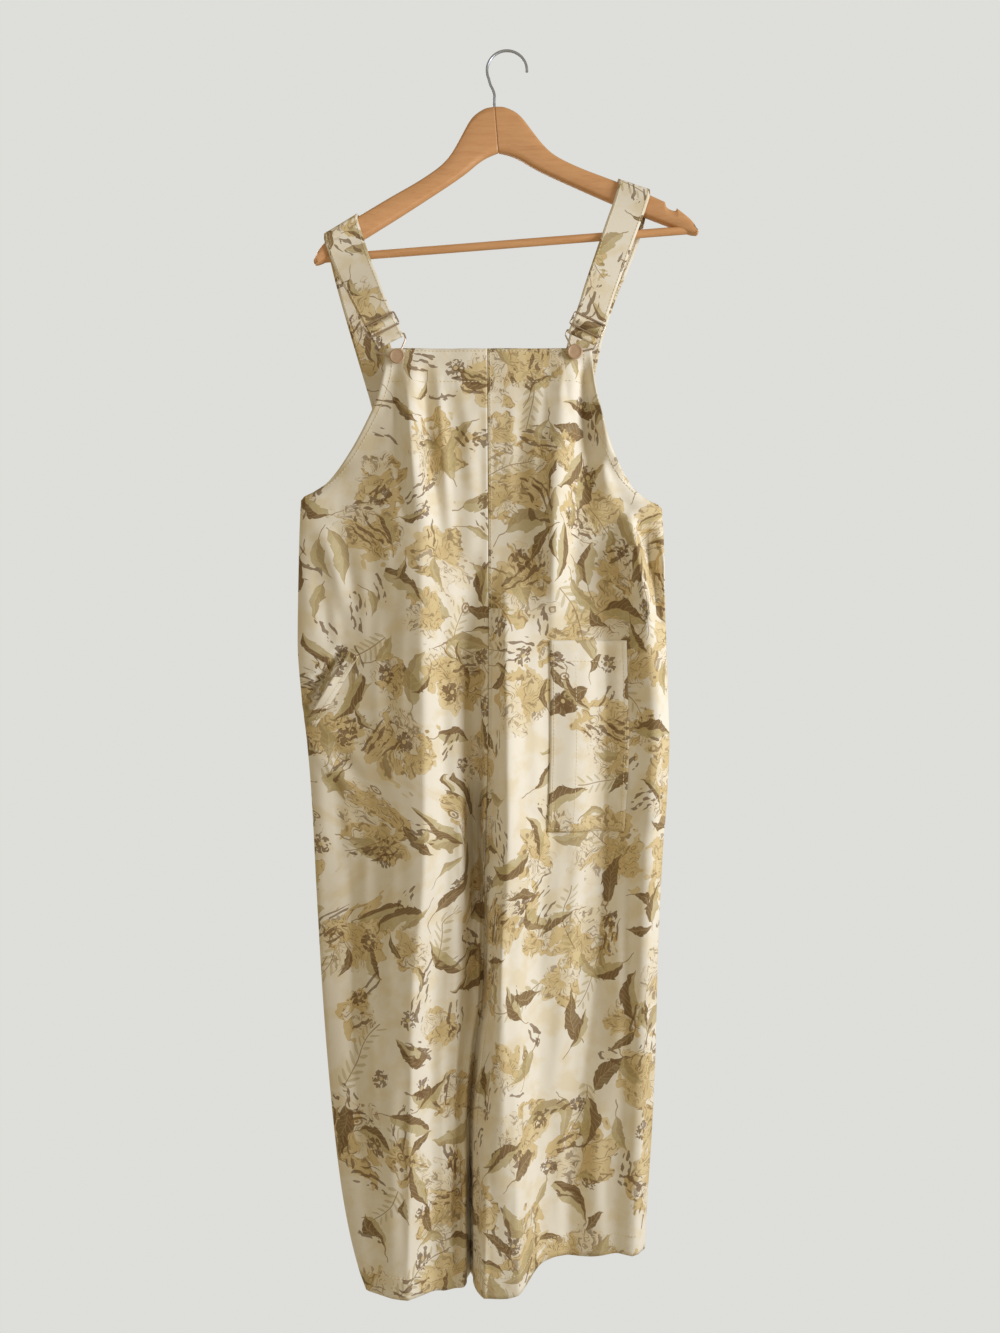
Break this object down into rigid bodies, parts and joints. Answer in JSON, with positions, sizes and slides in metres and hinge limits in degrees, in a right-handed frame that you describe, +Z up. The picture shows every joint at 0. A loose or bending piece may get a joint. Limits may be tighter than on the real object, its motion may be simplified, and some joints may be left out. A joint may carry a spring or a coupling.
{
  "type": "overalls on a hanger",
  "caption": "Sleeveless bib overalls in floral cotton with buckled straps, a slant pocket and a patch pocket, hung on a wooden hanger by its steel hook.",
  "frame": {"origin": "the point inside the top of the steel hook that bears on the peg", "axes": "+Z up, +X to the viewer's right, the front faces -Y"},
  "size_m": [0.4609, 0.1189, 1.4428],
  "materials": {
    "printed_cotton": "floral print on cream twill",
    "hanger_wood": "clear satin lacquer",
    "hook_steel": "bright plated wire",
    "fitting_metal": "antique plated wire",
    "button_metal": "matte tan"
  },
  "bodies": {
    "root": {"front_left": "printed_cotton", "front_right": "printed_cotton", "back_left": "printed_cotton", "back_right": "printed_cotton", "strap_left": "printed_cotton", "strap_right": "printed_cotton", "pocket_mouth_left": "printed_cotton", "pocket_patch_right": "printed_cotton", "hanger_arm_left": "hanger_wood", "hanger_arm_right": "hanger_wood", "hanger_bar": "hanger_wood", "hanger_hook": "hook_steel", "slider_left": "fitting_metal", "slider_right": "fitting_metal", "clip_left": "fitting_metal", "clip_right": "fitting_metal", "button_left": "button_metal", "button_right": "button_metal"}
  },
  "joints": []
}
